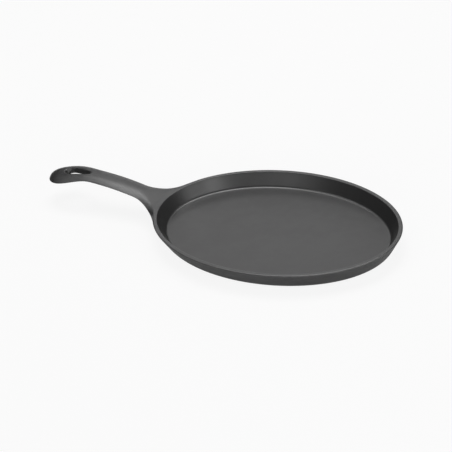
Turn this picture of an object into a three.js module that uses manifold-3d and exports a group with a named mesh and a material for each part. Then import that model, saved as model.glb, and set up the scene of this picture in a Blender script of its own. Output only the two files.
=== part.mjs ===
// Oval cast-iron frying pan, one casting: dish, rim and handle are poured together.
// Millimetres, +Z up. The origin is the middle of the flat underside, the handle points to -X.

import * as THREE from 'three';
import { mergeVertices } from 'three/addons/utils/BufferGeometryUtils.js';
import Module from 'manifold-3d';

const wasm = await Module();
wasm.setup();

const { lerp, smoothstep, degToRad } = THREE.MathUtils;

// Dish
const dishLength = 254;
const dishWidth = 188.8;
const dishHeight = 19.5;
const rimWidth = 4.1;
const rimEase = 0.8;
const wallLean = degToRad(31); // off upright
const floorThickness = 6.3;
const floorFillet = 3;
const bottomCorner = 10;

// Handle outline, measured outward from the end of the rim
const handleLength = 129;
const rootWidth = 86;
const rootLength = 26.1;
const rootFullness = 0.59;
const shaftWidth = 24.45;
const tipWidth = 37.9;
const tipLength = 53.1;
const tipRound = 19.8;

// Handle section: the crown over its widest line, the belly under it, where the crown bends down
const crownHeight = 2.7;
const tipCrown = 5.6;
const rootBelly = 3;
const shaftBelly = 3.6;
const tipBelly = 0.6;
const rootEdge = 27;
const shaftEdge = 11.5;
const tipEdge = 18;
const endRound = 14;
const roundestShare = 0.95; // most of the half width that an edge may take

// Handle side view: the widest line climbs to an arch and droops, heights over the rim's top
const archRise = 10.05;
const climbStart = 10;
const climbBend = 32.2;
const climbBendRise = 7.85;
const droopLength = 50.5;
const droopStart = 13.2;
const droopBend = 20.3;
const droopBendRise = 3.45;
const endRise = 2.7;

// Hanging hole, a teardrop whose point looks at the dish
const holeLength = 28;
const holeWidth = 12.5;
const holePointRadius = 2;
const holeMargin = 19; // from the handle's end

// Fineness of the facets, and how far forms run into or past each other
const dishSides = 112;
const filletSteps = 4;
const easeSteps = 3;
const edgeSteps = 5;
const stationGap = 3.6;
const buriedSteps = 4;
const endSteps = 8;
const holeSteps = 10;
const buriedLength = 14;
const overrun = 5;

const wallTurn = Math.PI / 2 - wallLean; // between a level face and the wall
const tangentShare = Math.tan(wallTurn / 2);
const rimEnd = dishLength / 2;

// A closed loop on the dish's oval, drawn in by inset on both axes.
function ovalLoop(inset, z) {
  return Array.from({ length: dishSides }, (_, side) => {
    const angle = (side / dishSides) * 2 * Math.PI;
    const x = (rimEnd - inset) * Math.cos(angle);
    const y = (dishWidth / 2 - inset) * Math.sin(angle);
    return new THREE.Vector3(x, y, z);
  });
}

// Points [inset, z] of a corner that leaves a level face at foot and turns up into the wall.
function wallCorner(foot, z, radius) {
  return Array.from({ length: filletSteps + 1 }, (_, step) => {
    const angle = (step / filletSteps) * wallTurn;
    return [foot - radius * Math.sin(angle), z + radius * (1 - Math.cos(angle))];
  });
}

// Points [inset, z] of the eased edge between a wall and the rim's top, round a given middle.
function easedEdge(middle, wallAngle) {
  return Array.from({ length: easeSteps + 1 }, (_, step) => {
    const angle = lerp(wallAngle, Math.PI / 2, step / easeSteps);
    return [middle + rimEase * Math.cos(angle), dishHeight + rimEase * (Math.sin(angle) - 1)];
  });
}

// Skins equal loops, one after the other, and closes both ends with a fan to a middle point.
function skin(loops, start, end) {
  const sides = loops[0].length;
  const points = [...loops.flat(), start, end];
  const startPoint = points.length - 2;
  const endPoint = points.length - 1;
  const lastLoop = (loops.length - 1) * sides;
  const faces = [];
  for (let side = 0; side < sides; side += 1) {
    const next = (side + 1) % sides;
    faces.push(startPoint, next, side);
    for (let low = 0; low < lastLoop; low += sides) {
      const high = low + sides;
      faces.push(low + side, low + next, high + next);
      faces.push(low + side, high + next, high + side);
    }
    faces.push(endPoint, lastLoop + side, lastLoop + next);
  }
  const geometry = new THREE.BufferGeometry().setFromPoints(points);
  geometry.setIndex(faces);
  return geometry;
}

function toSolid(geometry) {
  geometry.deleteAttribute('normal');
  geometry.deleteAttribute('uv');
  const merged = mergeVertices(geometry);
  const vertProperties = new Float32Array(merged.attributes.position.array);
  const triVerts = new Uint32Array(merged.index.array);
  return new wasm.Manifold(new wasm.Mesh({ numProp: 3, vertProperties, triVerts }));
}

function toGeometry(solid) {
  const mesh = solid.getMesh();
  const geometry = new THREE.BufferGeometry();
  geometry.setAttribute('position', new THREE.BufferAttribute(mesh.vertProperties, 3));
  geometry.setIndex(new THREE.BufferAttribute(mesh.triVerts, 1));
  geometry.computeVertexNormals();
  return geometry;
}

function ovalSolid(profile) {
  const loops = profile.map(([inset, z]) => ovalLoop(inset, z));
  const bottom = new THREE.Vector3(0, 0, profile[0][1]);
  const top = new THREE.Vector3(0, 0, profile.at(-1)[1]);
  return toSolid(skin(loops, bottom, top));
}

// Outer form of the dish: flat underside, large bottom corner, leaning wall, eased rim.
function outerForm() {
  const sharpEdge = rimEase * (1 - Math.tan((Math.PI / 2 + wallLean) / 2));
  const foot = sharpEdge + dishHeight * Math.tan(wallLean) + bottomCorner * tangentShare;
  const edge = easedEdge(rimEase, Math.PI + wallLean);
  return ovalSolid([...wallCorner(foot, 0, bottomCorner), ...edge]);
}

// Hollow of the dish: flat floor, fillet, leaning wall, eased inner edge, open upwards.
function hollow() {
  const depth = dishHeight - floorThickness;
  const foot = rimWidth + depth * Math.tan(wallLean) + floorFillet * tangentShare;
  const edgeMiddle = rimWidth - rimEase * tangentShare;
  const edge = easedEdge(edgeMiddle, wallLean);
  const mouth = [edgeMiddle, dishHeight + overrun];
  return ovalSolid([...wallCorner(foot, floorThickness, floorFillet), ...edge, mouth]);
}

// A curve's y where its x is the given distance, for a curve whose x only grows.
function valueAt(curve, distance) {
  let before = 0;
  let after = 1;
  while (after - before > 1e-7) {
    const middle = (before + after) / 2;
    if (curve.getPoint(middle).x < distance) {
      before = middle;
    } else {
      after = middle;
    }
  }
  return curve.getPoint(before).y;
}

// The flare leaves the rim along the rim's own tangent and runs out level with the shaft.
const rootShare = rootWidth / dishWidth;
const rootDepth = Math.sqrt(1 - rootShare ** 2);
const rimSlope = (dishWidth * rootDepth) / (dishLength * rootShare);
const flareStart = new THREE.Vector2(rimEnd * (rootDepth - 1), rootWidth / 2);
const flareEnd = new THREE.Vector2(rootLength, shaftWidth / 2);
const flareRun = (flareStart.y - flareEnd.y) / rimSlope;
const flareCorner = new THREE.Vector2(flareStart.x + flareRun, flareEnd.y);
const flare = new THREE.CubicBezierCurve(
  flareStart,
  flareStart.clone().lerp(flareCorner, rootFullness),
  flareEnd.clone().lerp(flareCorner, rootFullness),
  flareEnd,
);

// The middle line in side view: x is the distance out, y the height over the rim's top.
const archPlace = handleLength - droopLength;
const archSlope = (archRise - climbBendRise) / (archPlace - climbBend);
const climb = new THREE.CubicBezierCurve(
  new THREE.Vector2(0, -crownHeight),
  new THREE.Vector2(climbStart, -crownHeight),
  new THREE.Vector2(climbBend, climbBendRise),
  new THREE.Vector2(archPlace, archRise),
);
const droop = new THREE.CubicBezierCurve(
  new THREE.Vector2(archPlace, archRise),
  new THREE.Vector2(archPlace + droopStart, archRise + droopStart * archSlope),
  new THREE.Vector2(handleLength - droopBend, droopBendRise),
  new THREE.Vector2(handleLength, endRise),
);

function rise(out) {
  if (out <= 0) {
    return -crownHeight;
  }
  return out < archPlace ? valueAt(climb, out) : valueAt(droop, out);
}

const tipStart = handleLength - tipLength;
const tipWidest = handleLength - tipRound;

// Before the flare starts, the handle's end hides inside the dish's wall.
function halfWidth(out) {
  if (out < flareStart.x) {
    const inset = (rimWidth * (flareStart.x - out)) / buriedLength;
    const share = (rimEnd + out) / (rimEnd - inset);
    return (dishWidth / 2 - inset) * Math.sqrt(1 - share ** 2);
  }
  if (out < rootLength) {
    return valueAt(flare, out);
  }
  if (out < tipWidest) {
    return lerp(shaftWidth / 2, tipWidth / 2, smoothstep(out, tipStart, tipWidest));
  }
  return (tipWidth / 2) * Math.sqrt(1 - ((out - tipWidest) / tipRound) ** 2);
}

// One loop across the handle, from its -Y edge over the crown and back under the belly.
function section(out) {
  const half = halfWidth(out);
  const ending = Math.min((handleLength - out) / endRound, 1);
  const thinning = Math.sqrt(1 - (1 - ending) ** 2);
  const rootBlend = smoothstep(out, 0, rootLength);
  const tipBlend = smoothstep(out, tipStart, tipWidest);
  const belly = lerp(lerp(rootBelly, shaftBelly, rootBlend), tipBelly, tipBlend) * thinning;
  const crown = lerp(crownHeight, tipCrown, tipBlend) * thinning;
  const wantedEdge = lerp(lerp(rootEdge, shaftEdge, rootBlend), tipEdge, tipBlend);
  const edge = Math.min(wantedEdge, half * roundestShare);
  const middle = dishHeight + rise(out);
  const at = (y, z) => new THREE.Vector3(-rimEnd - out, y, middle + z);
  const quarter = Array.from({ length: edgeSteps + 1 }, (_, step) => {
    const angle = ((step / edgeSteps) * Math.PI) / 2;
    return [half - edge + edge * Math.cos(angle), crown * Math.sin(angle) ** 2];
  });
  const nearTop = quarter.map(([y, z]) => at(-y, z));
  const farTop = quarter.map(([y, z]) => at(y, z)).reverse();
  const under = Array.from({ length: 2 * edgeSteps - 1 }, (_, step) => {
    const angle = ((step + 1) / (2 * edgeSteps)) * Math.PI;
    return at(half * Math.cos(angle), -belly * Math.sin(angle) ** 2);
  });
  return [...nearTop, ...farTop, ...under];
}

function handle() {
  const spread = (from, to, steps) =>
    Array.from({ length: steps }, (_, step) => lerp(from, to, step / steps));
  const openSteps = Math.ceil((tipWidest - flareStart.x) / stationGap);
  const buriedEnd = flareStart.x - buriedLength;
  const places = [
    ...spread(buriedEnd, flareStart.x, buriedSteps),
    ...spread(flareStart.x, tipWidest, openSteps),
    ...spread(0, Math.PI / 2, endSteps).map((angle) => tipWidest + tipRound * Math.sin(angle)),
  ];
  const start = new THREE.Vector3(-rimEnd - buriedEnd, 0, dishHeight - crownHeight);
  const end = new THREE.Vector3(-rimEnd - handleLength, 0, dishHeight + endRise);
  return toSolid(skin(places.map(section), start, end));
}

// The hole's cutter: two round ends of unlike size, joined by their common tangents.
function hangingHole() {
  const radius = holeWidth / 2;
  const reach = holeLength - radius - holePointRadius;
  const turn = Math.acos((radius - holePointRadius) / reach);
  const outline = new THREE.Shape();
  outline.absarc(0, 0, radius, turn, 2 * Math.PI - turn, false);
  outline.absarc(reach, 0, holePointRadius, -turn, turn, false);
  const depth = dishHeight + archRise + tipCrown + overrun;
  const cutter = new THREE.ExtrudeGeometry(outline, {
    depth,
    bevelEnabled: false,
    curveSegments: holeSteps,
  });
  cutter.translate(holeMargin + radius - rimEnd - handleLength, 0, 0);
  return toSolid(cutter);
}

const seasonedIron = new THREE.MeshStandardMaterial({
  color: 0x3a3a3b,
  roughness: 0.5,
  metalness: 0.2,
});
const cast = outerForm().add(handle()).subtract(hollow()).subtract(hangingHole());
const casting = new THREE.Mesh(toGeometry(cast), seasonedIron);
casting.name = 'pan_casting';

const pan = new THREE.Group();
pan.add(casting);

export default pan;
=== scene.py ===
"""Oval cast-iron frying pan: the seasoned casting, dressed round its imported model."""

import math

import bmesh
import bpy
from mathutils import Matrix, Vector


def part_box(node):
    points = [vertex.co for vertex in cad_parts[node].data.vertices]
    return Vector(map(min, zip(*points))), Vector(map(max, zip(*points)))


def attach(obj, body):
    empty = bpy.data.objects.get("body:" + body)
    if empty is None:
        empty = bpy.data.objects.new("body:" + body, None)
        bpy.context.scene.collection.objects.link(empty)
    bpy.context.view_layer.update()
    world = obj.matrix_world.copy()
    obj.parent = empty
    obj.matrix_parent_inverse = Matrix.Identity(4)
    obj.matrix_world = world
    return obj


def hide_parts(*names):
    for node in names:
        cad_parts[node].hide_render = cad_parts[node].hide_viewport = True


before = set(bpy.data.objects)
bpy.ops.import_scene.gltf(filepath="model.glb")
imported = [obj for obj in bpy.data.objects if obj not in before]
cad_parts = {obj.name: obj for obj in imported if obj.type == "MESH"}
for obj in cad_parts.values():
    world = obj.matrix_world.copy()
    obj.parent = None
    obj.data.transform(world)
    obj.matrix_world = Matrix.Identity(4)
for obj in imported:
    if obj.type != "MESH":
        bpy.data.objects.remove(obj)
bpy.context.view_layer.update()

MM = 0.001  # Blender works in metres

# All sizes of the casting are in millimetres; its length and width come from the frame
pan_low, pan_high = (corner / MM for corner in map(Vector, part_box("pan_casting")))
RIM_END = pan_high.x
HALF_WIDTH = pan_high.y
HANDLE_LENGTH = -pan_low.x - RIM_END

# The dish
DISH_HEIGHT = 19.5
RIM_WIDTH = 4.1
RIM_EASE = 0.8  # radius of the rim's two edges
WALL_LEAN = math.radians(31)
FLOOR_THICKNESS = 6.3
FLOOR_FILLET = 3.0
BOTTOM_CORNER = 10.0

# The handle from above
ROOT_LENGTH = 26.1
ROOT_FULLNESS = 0.59  # how far the flare's curve is drawn into its corner
SHAFT_WIDTH = 24.45
TIP_WIDTH = 37.9
TIP_LENGTH = 53.1
TIP_ROUND = 19.8

# The handle's section: a crown over its widest line, a belly under it and rounded edges
CROWN = 2.7
TIP_CROWN = 5.6
ROOT_BELLY = 2.5
SHAFT_BELLY = 3.6
TIP_BELLY = 0.6
ROOT_EDGE = 16.0
SHAFT_EDGE = 11.5
TIP_EDGE = 18.0
ROUNDEST = 0.95  # the widest rounded edge, as a share of the half width
END_ROUND = 14.0  # how far before its end the tip begins to thin

# The handle's widest line from the side: places out from the rim's end, heights over the rim
CLIMB_START = 10.0
CLIMB_BEND = (32.2, 7.85)
ARCH_RISE = 10.05
DROOP_LENGTH = 50.5
DROOP_START = 13.2
DROOP_BEND = (20.3, 3.45)  # its place is measured back from the handle's end
END_RISE = 2.7

# The teardrop hanging hole
HOLE_LENGTH = 28.0
HOLE_WIDTH = 11.7
HOLE_POINT = 3.0  # radius of the end towards the dish
HOLE_MARGIN = 19.0  # iron between the hole and the handle's end
HOLE_SCOOP = 1.8  # how much further the round end reaches on top
HOLE_DRAFT = 0.8  # how much smaller the hole is at the underside, all round
TOP_LIP = 1.1
UNDER_LIP = 0.7
HOLE_END = HANDLE_LENGTH - HOLE_MARGIN
HOLE_START = HOLE_END - HOLE_LENGTH
HOLE_MIDDLE = HOLE_END - HOLE_LENGTH / 2
HOLE_CENTRE = HOLE_END - HOLE_WIDTH / 2  # of the round end

# The cage that is smoothed into the casting: rings round the dish, columns round the oval
SIDES = 80
GRID_SPAN = SIDES // 4  # along one side of the grid that fills a flat
FLAT_MARGIN = 8.0  # from the edge of each flat to its first ring
CORNER_STEPS = 5
OUTER_ROWS = (7.2, 9.5, 12.5, 15.5)  # heights of the rings up the outer wall
EASE_STEPS = 3
INNER_ROWS = (9.0, 12.0, 15.5)
FILLET_STEPS = 4
TOP_RING = 1 + (CORNER_STEPS + 1) + len(OUTER_ROWS) + EASE_STEPS  # where the rim's top begins
SMOOTHING = 2
SWELL = 3 / (2 + math.cos(2 * math.pi / SIDES))  # undoes what smoothing takes off an oval

# The handle's part of the cage: rows from its top down its side, columns to each side
SIDE_ROWS = 6
WIDEST_ROW = 3
UPPER_TURN = 30  # degrees round the side from row to row above the widest line
LOWER_TURN = 15  # and below it
UNDER_EDGE = LOWER_TURN * (SIDE_ROWS - WIDEST_ROW)  # where the last row lies
ROOT_COLUMNS = 6
INNER_SHARE = 0.6  # the least share of the half width for the columns on top
FLARE_STEPS = 12
STATION_GAP = 3.6
TIP_TURNS = (0, 11, 22, 33, 44, 55, 65, 74, 81, 86)  # degrees round the tip's end
HOLE_COLUMNS = 4
LIP_STEPS = 2
TOP_MARK = 1
UNDER_MARK = 2
MARKS = ("ring", "column", "station", "lip")  # whole numbers kept on the cage's points

CURVE_TOLERANCE = 1e-6
HOLE_TOLERANCE = 1e-4


def lerp(a, b, share):
    return a + (b - a) * share


def smoothstep(value, start, end):
    share = min(max((value - start) / (end - start), 0), 1)
    return share * share * (3 - 2 * share)


def bezier(points, share):
    """A point on the curve of some control points."""
    while len(points) > 1:
        points = [Vector(a).lerp(Vector(b), share) for a, b in zip(points, points[1:])]
    return points[0]


def bezier_at(points, place):
    """The curve's height where its first coordinate is place."""
    before, after = 0.0, 1.0
    while after - before > CURVE_TOLERANCE:
        middle = (before + after) / 2
        if bezier(points, middle).x < place:
            before = middle
        else:
            after = middle
    return bezier(points, before).y


# The dish's profile, as (inset from the rim's outer oval, height)
CORNER_TURN = math.pi / 2 - WALL_LEAN
CORNER_REACH = math.tan(CORNER_TURN / 2)  # of a corner of radius 1, along each of its sides
SHARP_EDGE = RIM_EASE * (1 - math.tan((math.pi / 2 + WALL_LEAN) / 2))


def corner_arc(foot, level, radius, steps):
    """Up a corner that leaves a level face at foot and turns into the wall."""
    angles = [CORNER_TURN * step / steps for step in range(steps + 1)]
    return [(foot - radius * math.sin(a), level + radius * (1 - math.cos(a))) for a in angles]


def eased_edge(middle, wall_angle, steps):
    """Over the eased edge from a wall to the rim's top."""
    angles = [lerp(wall_angle, math.pi / 2, step / steps) for step in range(steps + 1)]
    low = DISH_HEIGHT - RIM_EASE
    return [(middle + RIM_EASE * math.cos(a), low + RIM_EASE * math.sin(a)) for a in angles]


def wall(sharp_inset, heights):
    """Up a leaning wall that would meet the rim's top at sharp_inset."""
    return [(sharp_inset + (DISH_HEIGHT - z) * math.tan(WALL_LEAN), z) for z in heights]


def dish_profile():
    """From the underside, up the outer wall, over the rim and down to the floor."""
    full_run = DISH_HEIGHT * math.tan(WALL_LEAN)
    under_foot = SHARP_EDGE + full_run + BOTTOM_CORNER * CORNER_REACH
    depth = DISH_HEIGHT - FLOOR_THICKNESS
    floor_foot = RIM_WIDTH + depth * math.tan(WALL_LEAN) + FLOOR_FILLET * CORNER_REACH
    outer = [(under_foot + FLAT_MARGIN, 0.0)]
    outer += corner_arc(under_foot, 0.0, BOTTOM_CORNER, CORNER_STEPS)
    outer += wall(SHARP_EDGE, OUTER_ROWS)
    outer += eased_edge(RIM_EASE, math.pi + WALL_LEAN, EASE_STEPS)
    inner = [(floor_foot + FLAT_MARGIN, FLOOR_THICKNESS)]
    inner += corner_arc(floor_foot, FLOOR_THICKNESS, FLOOR_FILLET, FILLET_STEPS)
    inner += wall(RIM_WIDTH, INNER_ROWS)
    inner += eased_edge(RIM_WIDTH - RIM_EASE * CORNER_REACH, WALL_LEAN, EASE_STEPS)
    rim_middle = ((RIM_EASE + inner[-1][0]) / 2, DISH_HEIGHT)
    return outer + [rim_middle] + inner[::-1]


# The flare's outline, as (out from the rim's end, across): it leaves the rim along its tangent
ROOT_ANGLE = 2 * math.pi * ROOT_COLUMNS / SIDES
FLARE_START = Vector((RIM_END * (math.cos(ROOT_ANGLE) - 1), HALF_WIDTH * math.sin(ROOT_ANGLE)))
FLARE_END = Vector((ROOT_LENGTH, SHAFT_WIDTH / 2))
RIM_SLOPE = HALF_WIDTH / RIM_END / math.tan(ROOT_ANGLE)
FLARE_RUN = (FLARE_START.y - FLARE_END.y) / RIM_SLOPE
FLARE_CORNER = Vector((FLARE_START.x + FLARE_RUN, FLARE_END.y))
FLARE = (
    FLARE_START,
    FLARE_START.lerp(FLARE_CORNER, ROOT_FULLNESS),
    FLARE_END.lerp(FLARE_CORNER, ROOT_FULLNESS),
    FLARE_END,
)
TIP_START = HANDLE_LENGTH - TIP_LENGTH
TIP_WIDEST = HANDLE_LENGTH - TIP_ROUND

# The widest line, as (out from the rim's end, height over the rim): up to the arch, then down
ARCH_PLACE = HANDLE_LENGTH - DROOP_LENGTH
ARCH_SLOPE = (ARCH_RISE - CLIMB_BEND[1]) / (ARCH_PLACE - CLIMB_BEND[0])
CLIMB = ((0, -CROWN), (CLIMB_START, -CROWN), CLIMB_BEND, (ARCH_PLACE, ARCH_RISE))
DROOP = (
    (ARCH_PLACE, ARCH_RISE),
    (ARCH_PLACE + DROOP_START, ARCH_RISE + DROOP_START * ARCH_SLOPE),
    (HANDLE_LENGTH - DROOP_BEND[0], DROOP_BEND[1]),
    (HANDLE_LENGTH, END_RISE),
)


def rise(out):
    """The widest line's height over the rim."""
    if out <= 0:
        return -CROWN
    return bezier_at(CLIMB if out < ARCH_PLACE else DROOP, out)


class Station:
    """One section across the handle; in the flare its middle lies further out than its sides."""

    def __init__(self, middle, side, half):
        self.middle = middle
        self.side = side
        self.half = half
        ending = min((HANDLE_LENGTH - middle) / END_ROUND, 1)
        thin = math.sqrt(1 - (1 - ending) ** 2)
        root = smoothstep(middle, 0, ROOT_LENGTH)
        tip = smoothstep(middle, TIP_START, TIP_WIDEST)
        self.belly = lerp(lerp(ROOT_BELLY, SHAFT_BELLY, root), TIP_BELLY, tip) * thin
        self.crown = lerp(CROWN, TIP_CROWN, tip) * thin
        edge = lerp(lerp(ROOT_EDGE, SHAFT_EDGE, root), TIP_EDGE, tip)
        self.edge = min(edge, half * ROUNDEST)
        self.inner = max(half - self.edge, half * INNER_SHARE)

    def place(self, y, lift):
        """A point at y across, lift above the widest line."""
        out = self.middle - (self.middle - self.side) * (y / self.half) ** 2
        height = DISH_HEIGHT + rise(out) + lift
        return Vector((-RIM_END - out, y, height)) * MM

    def top(self, y):
        """A point of the crown, which falls off over the rounded edge."""
        over = max(abs(y) - (self.half - self.edge), 0) / self.edge
        return self.place(y, self.crown * (1 - over**2))

    def bottom(self, y):
        """A point of the belly."""
        return self.place(y, -self.belly * (1 - (y / self.half) ** 2))

    def side_point(self, row, sign):
        """A point of the rounded side, down which the rows go."""
        if row <= WIDEST_ROW:
            across = math.sin(math.radians(UPPER_TURN * row))
            return self.top(sign * lerp(self.inner, self.half, across))
        across = math.cos(math.radians(LOWER_TURN * (row - WIDEST_ROW)))
        return self.bottom(sign * self.half * across)

    def point(self, column, row):
        """Column 0 is the middle one; row 0 is on top and the last row is underneath."""
        share = column / ROOT_COLUMNS
        if abs(column) == ROOT_COLUMNS and 0 < row < SIDE_ROWS:
            return self.side_point(row, math.copysign(1, column))
        top = self.top(share * self.inner)
        bottom = self.bottom(self.half * math.sin(math.radians(UNDER_EDGE) * share))
        return top.lerp(bottom, row / SIDE_ROWS)


def handle_stations():
    """The stations of the flare, the shaft and the rounded tip, on the way out."""
    for step in range(1, FLARE_STEPS + 1):
        outline = bezier(FLARE, step / FLARE_STEPS)
        middle = lerp(-RIM_EASE, ROOT_LENGTH, step / FLARE_STEPS)
        yield Station(middle, outline.x, outline.y)
    steps = round((TIP_WIDEST - ROOT_LENGTH) / STATION_GAP)
    for step in range(1, steps):
        out = lerp(ROOT_LENGTH, TIP_WIDEST, step / steps)
        half = lerp(SHAFT_WIDTH, TIP_WIDTH, smoothstep(out, TIP_START, TIP_WIDEST)) / 2
        yield Station(out, out, half)
    for degrees in TIP_TURNS:
        angle = math.radians(degrees)
        out = TIP_WIDEST + TIP_ROUND * math.sin(angle)
        yield Station(out, out, TIP_WIDTH / 2 * math.cos(angle))


def station_at(stations, out):
    """A new station at any distance out along the tip."""
    before = max((s for s in stations if s.middle <= out), key=lambda s: s.middle)
    after = min((s for s in stations if s.middle > out), key=lambda s: s.middle)
    share = (out - before.middle) / (after.middle - before.middle)
    return Station(out, out, lerp(before.half, after.half, share))


def station_number(stations, out):
    """The number of the station nearest to a place; the first is number 1."""
    return 1 + min(range(len(stations)), key=lambda i: abs(stations[i].middle - out))


class Cage:
    """The cage in edit mode, and the marks that say where each of its points belongs."""

    def __init__(self, pan):
        self.mesh = bmesh.from_edit_mesh(pan.data)
        layers = self.mesh.verts.layers.int
        self.ring, self.column, self.station, self.lip = (layers[mark] for mark in MARKS)

    def row(self, point):
        """The point's row, counted down from the rim's top."""
        return TOP_RING - point[self.ring]


def select_only(pan, kind, wanted):
    """Selects the cage's points, edges or faces for which wanted holds, and nothing else."""
    bpy.ops.mesh.select_mode(type=kind)
    bpy.ops.mesh.select_all(action="DESELECT")
    cage = Cage(pan)
    mesh = cage.mesh
    for part in {"VERT": mesh.verts, "EDGE": mesh.edges, "FACE": mesh.faces}[kind]:
        if wanted(cage, part):
            part.select = True
    mesh.select_flush_mode()
    bmesh.update_edit_mesh(pan.data)


def mark_columns(pan):
    """Numbers the first oval's points, from 0 at the handle's middle."""
    layers = bmesh.from_edit_mesh(pan.data).verts.layers.int
    for mark in MARKS:
        layers.new(mark)
    cage = Cage(pan)
    for point in cage.mesh.verts:
        angle = math.atan2(point.co.y, -point.co.x)
        point[cage.column] = round(angle * SIDES / (2 * math.pi))
    bmesh.update_edit_mesh(pan.data)


def turn_dish(pan):
    """Extrudes the dish from one oval, ring by ring, and fills its two flats with grids."""
    size = Vector((1, 1, 0))
    height = 0.0
    for ring, (inset, z) in enumerate(dish_profile()):
        if ring:
            lift = {"value": (0, 0, z * MM - height)}
            bpy.ops.mesh.extrude_region_move(TRANSFORM_OT_translate=lift)
        wanted = Vector((RIM_END - inset, HALF_WIDTH - inset, 0)) * MM * SWELL
        scale = (wanted.x / size.x, wanted.y / size.y, 1)
        bpy.ops.transform.resize(value=scale, center_override=(0, 0, z * MM))
        size, height = wanted, z * MM
        cage = Cage(pan)
        for point in cage.mesh.verts:
            if point.select:
                point[cage.ring] = ring
    bpy.ops.mesh.fill_grid(span=GRID_SPAN)
    select_only(pan, "VERT", lambda cage, point: point[cage.ring] == 0 and point.is_boundary)
    bpy.ops.mesh.fill_grid(span=GRID_SPAN)


def pull_handle(pan, stations):
    """Extrudes the handle out of the dish's wall, station by station."""

    def under_handle(cage, face):
        rows = [cage.row(point) for point in face.verts]
        columns = [abs(point[cage.column]) for point in face.verts]
        return 0 <= min(rows) and max(rows) <= SIDE_ROWS and max(columns) <= ROOT_COLUMNS

    select_only(pan, "FACE", under_handle)
    for number, station in enumerate(stations, 1):
        bpy.ops.mesh.extrude_region_move()
        cage = Cage(pan)
        for point in cage.mesh.verts:
            if point.select:
                point.co = station.point(point[cage.column], cage.row(point))
                point[cage.station] = number
        bmesh.update_edit_mesh(pan.data)


def hole_gap(out, y, grow):
    """How far (out, y) lies outside the teardrop, which is grown by a margin."""
    big, small = HOLE_WIDTH / 2, HOLE_POINT
    reach = HOLE_LENGTH - big - small
    along = HOLE_CENTRE - out
    across = abs(y)
    lean = (big - small) / reach
    rest = math.sqrt(1 - lean * lean)
    side = lean * -across + rest * along
    if side < 0:
        return math.hypot(along, across) - big - grow
    if side > rest * reach:
        return math.hypot(along - reach, across) - small - grow
    return along * lean + across * rest - big - grow


def on_teardrop(out, y, grow):
    """The point of the teardrop's outline in the direction of (out, y) from its middle."""
    aim = Vector((out - HOLE_MIDDLE, y)).normalized()
    near, far = 0.0, HOLE_LENGTH
    while far - near > HOLE_TOLERANCE:
        reach = (near + far) / 2
        if hole_gap(HOLE_MIDDLE + aim.x * reach, aim.y * reach, grow) < 0:
            near = reach
        else:
            far = reach
    return HOLE_MIDDLE + aim.x * near, aim.y * near


def draw_teardrop(pan, stations, first, last):
    """Moves the cage's points round the hole onto its outline, on top and underneath."""
    cage = Cage(pan)
    for point in cage.mesh.verts:
        row = cage.row(point)
        number = point[cage.station]
        column = abs(point[cage.column])
        in_patch = first <= number <= last and column <= HOLE_COLUMNS
        on_edge = number in (first, last) or column == HOLE_COLUMNS
        if not (in_patch and on_edge and row in (0, SIDE_ROWS)):
            continue
        out, y = -point.co.x / MM - RIM_END, point.co.y / MM
        if row == 0:
            out, y = on_teardrop(out, y, 0)
            past_centre = max(out - HOLE_CENTRE, 0)
            out += past_centre * HOLE_SCOOP / (HOLE_WIDTH / 2)
            point.co = station_at(stations, out).top(y)
            point[cage.lip] = TOP_MARK
        else:
            out, y = on_teardrop(out, y, -HOLE_DRAFT)
            point.co = station_at(stations, out).bottom(y)
            point[cage.lip] = UNDER_MARK
    bmesh.update_edit_mesh(pan.data)


def round_lip(pan, mark, radius):
    """Rounds the hole's edge on one side of the tip."""

    def on_lip(cage, edge):
        return all(point[cage.lip] == mark for point in edge.verts)

    select_only(pan, "EDGE", on_lip)
    bpy.ops.mesh.bevel(offset=radius * MM, segments=LIP_STEPS, affect="EDGES")


def open_hole(pan, stations):
    """Opens the teardrop through the tip, gives it its wall and rounds its lips."""
    first = station_number(stations, HOLE_START)
    last = station_number(stations, HOLE_END)

    def over_hole(cage, face):
        rows = {cage.row(point) for point in face.verts}
        numbers = [point[cage.station] for point in face.verts]
        columns = [abs(point[cage.column]) for point in face.verts]
        in_patch = first <= min(numbers) and max(numbers) <= last and max(columns) <= HOLE_COLUMNS
        return in_patch and rows in ({0}, {SIDE_ROWS})

    draw_teardrop(pan, stations, first, last)
    select_only(pan, "FACE", over_hole)
    bpy.ops.mesh.delete(type="FACE")
    select_only(pan, "EDGE", lambda cage, edge: edge.is_boundary)
    bpy.ops.mesh.bridge_edge_loops()
    round_lip(pan, TOP_MARK, TOP_LIP)
    round_lip(pan, UNDER_MARK, UNDER_LIP)


def pour_pan():
    """The whole casting, smoothed from its cage."""
    for obj in bpy.context.selected_objects:
        obj.select_set(False)
    bpy.ops.mesh.primitive_circle_add(vertices=SIDES, radius=1, location=(0, 0, 0))
    pan = bpy.context.object
    pan.name = "seasoned_casting"
    stations = list(handle_stations())
    bpy.ops.object.mode_set(mode="EDIT")
    mark_columns(pan)
    turn_dish(pan)
    pull_handle(pan, stations)
    open_hole(pan, stations)
    bpy.ops.mesh.select_all(action="SELECT")
    bpy.ops.mesh.normals_make_consistent(inside=False)
    bpy.ops.object.mode_set(mode="OBJECT")
    smooth = pan.modifiers.new("smooth", "SUBSURF")
    smooth.levels = smooth.render_levels = SMOOTHING
    bpy.ops.object.modifier_apply(modifier=smooth.name)
    bpy.ops.object.shade_smooth()
    for mark in MARKS:
        pan.data.attributes.remove(pan.data.attributes[mark])
    return pan


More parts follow.
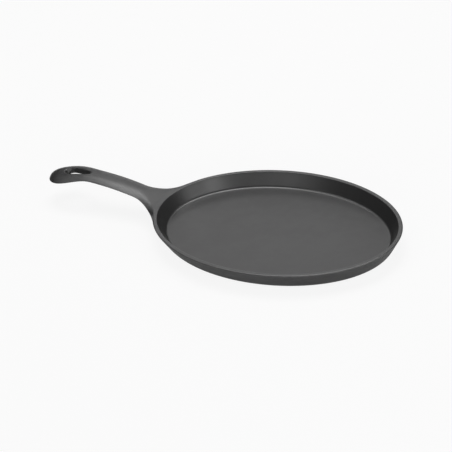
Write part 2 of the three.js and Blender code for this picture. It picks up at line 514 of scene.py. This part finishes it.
class Socket:
    """A node's output; Python's operators on it add Math nodes."""

    def __init__(self, shading, link):
        self.shading = shading
        self.link = link

    def __add__(self, other):
        return self.shading.math("ADD", self, other)

    __radd__ = __add__

    def __sub__(self, other):
        return self.shading.math("SUBTRACT", self, other)

    def __rsub__(self, other):
        return self.shading.math("SUBTRACT", other, self)

    def __mul__(self, other):
        return self.shading.math("MULTIPLY", self, other)

    __rmul__ = __mul__

    def __truediv__(self, other):
        return self.shading.math("DIVIDE", self, other)

    def __rtruediv__(self, other):
        return self.shading.math("DIVIDE", other, self)

    def __pow__(self, other):
        return self.shading.math("POWER", self, other)

    def __rpow__(self, other):
        return self.shading.math("POWER", other, self)

    def sibling(self, name):
        """Another output of the same node."""
        return Socket(self.shading, self.link.node.outputs[name])


class Shading:
    """The nodes of one material or of the world."""

    def __init__(self, owner):
        owner.use_nodes = True
        self.nodes = owner.node_tree.nodes
        self.links = owner.node_tree.links

    def feed(self, socket, value):
        """Links a node's output to a socket, or sets the socket's own value."""
        if isinstance(value, Socket):
            self.links.new(value.link, socket)
        else:
            socket.default_value = value

    def add(self, kind, settings=None, sockets=None, out=0):
        """A new node of a kind, with its settings and the values or links of its sockets."""
        node = self.nodes.new(kind)
        for name, value in (settings or {}).items():
            setattr(node, name, value)
        for name, value in (sockets or {}).items():
            self.feed(node.inputs[name], value)
        return Socket(self, node.outputs[out])

    def math(self, operation, *values):
        return self.add("ShaderNodeMath", {"operation": operation}, dict(enumerate(values)))

    def step(self, value, low, high):
        """0 below low, 1 above high, smooth between."""
        settings = {"interpolation_type": "SMOOTHSTEP"}
        sockets = {"Value": value, "From Min": low, "From Max": high}
        return self.add("ShaderNodeMapRange", settings, sockets)

    def noise(self, place, size, detail, roughness):
        """A noise from 0 to 1 whose lumps are about size metres wide."""
        sockets = {"Vector": place, "Scale": 1 / size, "Detail": detail, "Roughness": roughness}
        return self.add("ShaderNodeTexNoise", None, sockets)

    def blend(self, share, low, high):
        """A colour between two colours; a Mix node has its colours in sockets 6 and 7."""
        return self.add("ShaderNodeMix", {"data_type": "RGBA"}, {0: share, 6: low, 7: high}, 2)


# The iron's colours
SOFT_BLACK = (0.025, 0.025, 0.0253, 1)
DRY_BLACK = (0.019, 0.019, 0.0192, 1)
# painted highlight: a lighter grey for the rim's top, where it catches the light
RIM_HIGHLIGHT_GREY = (0.045, 0.045, 0.0455, 1)
# painted shade: near black for the hanging hole's wall, which lies in shade
HOLE_SHADE_BLACK = (0.004, 0.004, 0.004, 1)

# Its lumps: size in metres, detail and roughness of the noise
CLOUDS = (0.035, 3.0, 0.55)
SMEARS = (0.009, 2.0, 0.5)
GRAIN = (0.0007, 2.0, 0.6)
PITS = (0.0022, 1.0, 0.5)
CLOUD_SHARE = 0.7
OILED_RANGE = (0.35, 0.65)
GRAIN_SHARE = 0.6
RELIEF_STRENGTH = 0.35
RELIEF_DEPTH = 0.00012
INSIDE_WEAR = 0.5  # how much relief the inside of the dish has lost

# Where the dish's inside and the rim's painted highlight begin and end, as shares of the rim's
# outer oval
INSIDE_EDGE = (0.955, 0.975)
RIM_INNER_EDGE = (0.95, 0.965)
RIM_OUTER_EDGE = (1.0, 1.05)
RIM_LEVEL = (0.0189, 0.0193)  # metres up
# how strongly the painted highlight lightens the rim's top
RIM_HIGHLIGHT_SHARE = 0.6

# The painted shade that darkens the hanging hole's wall: how its edges fade, in millimetres, and
# where it narrows to the point
HOLE_SHADE_SIDE = (-0.2, 0.6)
HOLE_SHADE_ENDS = (-4.0, 0.5)
UNSHADED_END = 4.0  # how much of the hole's round end stays free of the painted shade
HOLE_SHADE_NARROWS = (-2.0, HOLE_LENGTH / 2 + 2.0)
HOLE_SHADE_TAPER = 0.6

# Roughness, and what each finish takes off or adds
IRON_ROUGHNESS = 0.42
INSIDE_SMOOTHER = 0.06
OIL_SMOOTHER = 0.05
RIM_SMOOTHER = 0.04
# the hole's painted shade is made rough as well, so that it keeps no sheen
HOLE_SHADE_ROUGHER = 0.4
OIL_SHINE = 1.0  # specular level of the baked-on oil


def painted_shade_in_hole(iron, x, y):
    """Where the hole is painted dark as shade: 1 in the hanging hole and 0 elsewhere, fading at
    the lips.
    """
    from_middle = x / MM + (RIM_END + HOLE_MIDDLE)  # positive towards the hole's point
    narrower = iron.step(from_middle, *HOLE_SHADE_NARROWS) * HOLE_SHADE_TAPER
    beside = iron.math("ABSOLUTE", y / MM) - HOLE_WIDTH / 2 * (1 - narrower)
    past_end = iron.math("ABSOLUTE", from_middle - UNSHADED_END / 2) - (HOLE_LENGTH - UNSHADED_END) / 2
    return (1 - iron.step(beside, *HOLE_SHADE_SIDE)) * (1 - iron.step(past_end, *HOLE_SHADE_ENDS))


def seasoned_iron():
    """Black seasoned cast iron: oiled sheen in soft clouds, sand-cast grain, a painted highlight
    on the rim and painted shade in the hanging hole.
    """
    material = bpy.data.materials.new("seasoned_iron")
    iron = Shading(material)
    shader = iron.nodes["Principled BSDF"]
    place = iron.add("ShaderNodeTexCoord", out="Object")
    x = iron.add("ShaderNodeSeparateXYZ", None, {"Vector": place}, "X")
    y = x.sibling("Y")
    z = x.sibling("Z")
    along = x / (RIM_END * MM)
    across = y / (HALF_WIDTH * MM)
    oval = (along * along + across * across) ** 0.5
    inside = 1 - iron.step(oval, *INSIDE_EDGE)
    on_rim = iron.step(z, *RIM_LEVEL) * iron.step(oval, *RIM_INNER_EDGE)
    on_rim = on_rim * (1 - iron.step(oval, *RIM_OUTER_EDGE))
    hole_shade = painted_shade_in_hole(iron, x, y)
    clouds = iron.noise(place, *CLOUDS)
    smears = iron.noise(place, *SMEARS)
    oiled = iron.step(clouds * CLOUD_SHARE + smears * (1 - CLOUD_SHARE), *OILED_RANGE)
    colour = iron.blend(oiled, DRY_BLACK, SOFT_BLACK)
    # painted highlight: the rim's top lightened towards grey
    colour = iron.blend(on_rim * RIM_HIGHLIGHT_SHARE, colour, RIM_HIGHLIGHT_GREY)
    # painted shade: the hanging hole's wall darkened to near black
    colour = iron.blend(hole_shade, colour, HOLE_SHADE_BLACK)
    iron.feed(shader.inputs["Base Color"], colour)
    roughness = IRON_ROUGHNESS - inside * INSIDE_SMOOTHER - oiled * OIL_SMOOTHER
    roughness = roughness - on_rim * RIM_SMOOTHER + hole_shade * HOLE_SHADE_ROUGHER
    iron.feed(shader.inputs["Roughness"], roughness)
    grain = iron.noise(place, *GRAIN)
    pits = iron.noise(place, *PITS)
    relief = (grain * GRAIN_SHARE + pits * (1 - GRAIN_SHARE)) * (1 - inside * INSIDE_WEAR)
    sockets = {"Strength": RELIEF_STRENGTH, "Distance": RELIEF_DEPTH, "Height": relief}
    iron.feed(shader.inputs["Normal"], iron.add("ShaderNodeBump", None, sockets))
    shader.inputs["Specular IOR Level"].default_value = OIL_SHINE
    return material


# The camera was fitted to the photograph, which is PHOTO pixels square
PHOTO = 452
AZIMUTH = math.radians(32.75)
ELEVATION = math.radians(30.6)
ROLL = math.radians(6.55)
DISTANCE = 2.6
PIXELS_PER_METRE = 1040
ORIGIN_PIXEL = (276.29, 244.38)
SENSOR = 36


def camera():
    """The camera at the photograph's angle, rolled as the photograph is."""
    back = Vector((math.sin(AZIMUTH) * math.cos(ELEVATION),
                   -math.cos(AZIMUTH) * math.cos(ELEVATION),
                   math.sin(ELEVATION)))
    right = Vector((math.cos(AZIMUTH), math.sin(AZIMUTH), 0))
    up = back.cross(right)
    across = (ORIGIN_PIXEL[0] - PHOTO / 2) / PIXELS_PER_METRE
    down = (ORIGIN_PIXEL[1] - PHOTO / 2) / PIXELS_PER_METRE
    place = back * DISTANCE - right * across + up * down
    rolled_right = right * math.cos(ROLL) - up * math.sin(ROLL)
    rolled_up = right * math.sin(ROLL) + up * math.cos(ROLL)
    turned = Matrix((rolled_right, rolled_up, back)).transposed().to_4x4()
    bpy.ops.object.camera_add(location=place)
    cam = bpy.context.object
    cam.matrix_world = Matrix.Translation(place) @ turned
    cam.data.sensor_width = SENSOR
    cam.data.lens = PIXELS_PER_METRE * DISTANCE / PHOTO * SENSOR
    bpy.context.scene.camera = cam


PAPER = (0.85, 0.85, 0.85, 1)
PAPER_SIZE = 12  # metres
PAPER_LEVEL = -0.0002  # just under the pan
WHITE_IN_VIEW = 0.88
WHITE_IN_GLOSS = 0.05


def paper_floor():
    """A wide paper floor that stays white in view and keeps the pan's shadow."""
    bpy.ops.mesh.primitive_plane_add(size=PAPER_SIZE, location=(0, 0, PAPER_LEVEL))
    floor = bpy.context.object
    floor.name = "floor"
    material = bpy.data.materials.new("white_paper")
    paper = Shading(material)
    shader = paper.nodes["Principled BSDF"]
    shader.inputs["Base Color"].default_value = PAPER
    shader.inputs["Roughness"].default_value = 1
    shader.inputs["Specular IOR Level"].default_value = 0
    seen = paper.add("ShaderNodeLightPath", out="Is Camera Ray")
    in_gloss = paper.math("MAXIMUM", seen.sibling("Is Glossy Ray"),
                          seen.sibling("Is Transmission Ray"))
    white = seen * WHITE_IN_VIEW + in_gloss * WHITE_IN_GLOSS
    lit = Socket(paper, shader.outputs["BSDF"])
    glow = paper.add("ShaderNodeEmission")
    mixed = paper.add("ShaderNodeMixShader", None, {0: white, 1: lit, 2: glow})
    paper.feed(paper.nodes["Material Output"].inputs["Surface"], mixed)
    floor.data.materials.append(material)


# A dim room and thirteen softboxes: azimuth and elevation in degrees, width, height, watts
ROOM = 0.02
SOFTBOX_DISTANCE = 1.6
SOFTBOXES = {
    "back_floor": (115, 12, 0.5, 0.3, 0.77),
    "back_low": (120, 30, 0.55, 0.5, 0.62),
    "back_slot": (135, 25, 0.4, 0.3, 0.34),
    "back_middle": (144, 45, 1.9, 0.5, 0.3),
    "back_high": (112, 62, 1.1, 0.55, 9.3),
    "overhead": (135, 80, 0.8, 0.5, 4.4),
    "left_low": (260, 25, 0.9, 0.5, 1.4),
    "left_middle": (180, 45, 1.2, 0.5, 1.3),
    "left_front": (210, 50, 0.6, 0.4, 1.6),
    "front_low": (315, 12, 3.0, 0.5, 20.3),
    "right_low": (0, 12, 0.7, 0.5, 4.3),
    "right_middle": (330, 30, 0.55, 0.5, 1.4),
    "right_back": (36, 45, 0.9, 0.5, 1.3),
}


def studio():
    """Lights the pan evenly all round; every softbox faces the middle of the dish."""
    world = bpy.context.scene.world or bpy.data.worlds.new("studio")
    bpy.context.scene.world = world
    room = Shading(world).nodes["Background"]
    room.inputs["Color"].default_value = (1, 1, 1, 1)
    room.inputs["Strength"].default_value = ROOM
    for name, (azimuth, elevation, width, height, watts) in SOFTBOXES.items():
        turn, lift = math.radians(azimuth), math.radians(elevation)
        level = Vector((math.cos(turn), math.sin(turn), 0)) * math.cos(lift)
        place = level + Vector((0, 0, math.sin(lift)))
        bpy.ops.object.light_add(type="AREA", location=place * SOFTBOX_DISTANCE)
        lamp = bpy.context.object
        lamp.name = name
        lamp.data.shape = "RECTANGLE"
        lamp.data.size = width
        lamp.data.size_y = height
        lamp.data.energy = watts
        lamp.rotation_euler = (-place).to_track_quat("-Z", "Y").to_euler()


camera()
casting = pour_pan()
casting.data.materials.append(seasoned_iron())
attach(casting, "root")
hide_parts("pan_casting")
paper_floor()
studio()
bpy.context.scene.view_settings.view_transform = "Standard"
